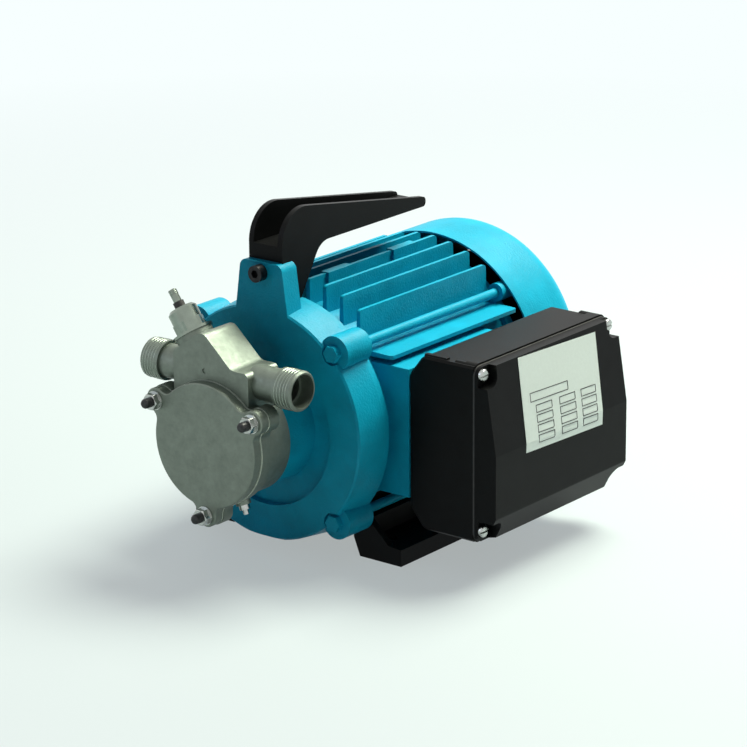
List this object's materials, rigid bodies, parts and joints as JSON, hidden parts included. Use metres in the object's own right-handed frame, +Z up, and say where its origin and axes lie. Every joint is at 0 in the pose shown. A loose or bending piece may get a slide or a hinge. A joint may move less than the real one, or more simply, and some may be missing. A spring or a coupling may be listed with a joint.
{
  "type": "self-priming pump",
  "caption": "Self-priming flexible-impeller pump with a cast head, opposed threaded ports and a sprung priming valve, on a finned, foot-mounted motor with a terminal box and handle.",
  "frame": {"origin": "on the floor, in the middle of the four foot holes, under the shaft", "axes": "+Y along the shaft from the pump to the fan, +X to the terminal box, +Z up"},
  "size_m": [0.1973, 0.2465, 0.1838],
  "materials": {
    "blue_paint": "satin teal-blue enamel over cast aluminium",
    "black_plastic": "finely grained moulding",
    "nickel": "nickel-plated casting, grained by its mould",
    "bright_steel": "bright plated fasteners",
    "ground_steel": "ground steel",
    "core_steel": "stacked sheet steel",
    "copper": "varnished copper wire",
    "rubber": "moulded rubber",
    "carbon": "lapped carbon",
    "ceramic": "lapped ceramic",
    "can": "drawn aluminium can",
    "terminal_white": "moulded insulator",
    "brass": "turned brass"
  },
  "bodies": {
    "housing": {"motor_frame": "blue_paint", "front_shield": "blue_paint", "rear_shield": "blue_paint", "fan_cowl": "blue_paint", "tie_bolts": "blue_paint", "tie_nuts": "bright_steel", "stator_core": "core_steel", "stator_windings": "copper", "wave_washer": "ground_steel", "cowl_screws": "bright_steel", "base_foot": "black_plastic", "foot_screws": "bright_steel", "handle": "black_plastic", "handle_screw": "bright_steel", "box_base": "black_plastic", "box_gasket": "rubber", "box_lid": "black_plastic", "lid_screws": "bright_steel", "box_screws": "bright_steel", "capacitor": "can", "capacitor_saddle": "black_plastic", "terminal_block": "terminal_white", "cable_gland": "black_plastic", "gland_nut": "black_plastic", "gland_locknut": "black_plastic", "pump_body": "nickel", "pump_cover": "nickel", "cover_gasket": "rubber", "cover_studs": "bright_steel", "cover_washers": "bright_steel", "cover_nuts": "bright_steel", "body_screws": "bright_steel", "wear_plate": "ground_steel", "cam": "brass", "cam_screw": "brass", "seal_seat": "ceramic", "drain_screw": "bright_steel", "valve_washer": "nickel", "valve_body": "nickel", "valve_gland": "rubber", "valve_spring": "ground_steel", "front_bearing_outer": "ground_steel", "rear_bearing_outer": "ground_steel"},
    "rotor": {"shaft": "ground_steel", "rotor_core": "core_steel", "front_bearing_inner": "ground_steel", "rear_bearing_inner": "ground_steel", "cooling_fan": "black_plastic", "fan_clip": "ground_steel", "impeller": "rubber", "impeller_sleeve": "brass", "impeller_pin": "ground_steel", "seal_head": "carbon"},
    "stem": {"valve_stem": "bright_steel"}
  },
  "joints": [
    {"name": "shaft_spin", "type": "hinge", "parent": "housing", "child": "rotor", "pos_m": [0, 0, 0.071], "axis": [0, 1, 0], "continuous": true},
    {"name": "valve_press", "type": "slide", "parent": "housing", "child": "stem", "axis": [-0.5692, 0, 0.8222], "range_m": [-0.003, 0], "stiffness_N_per_m": 400, "springref_m": 0.002}
  ]
}
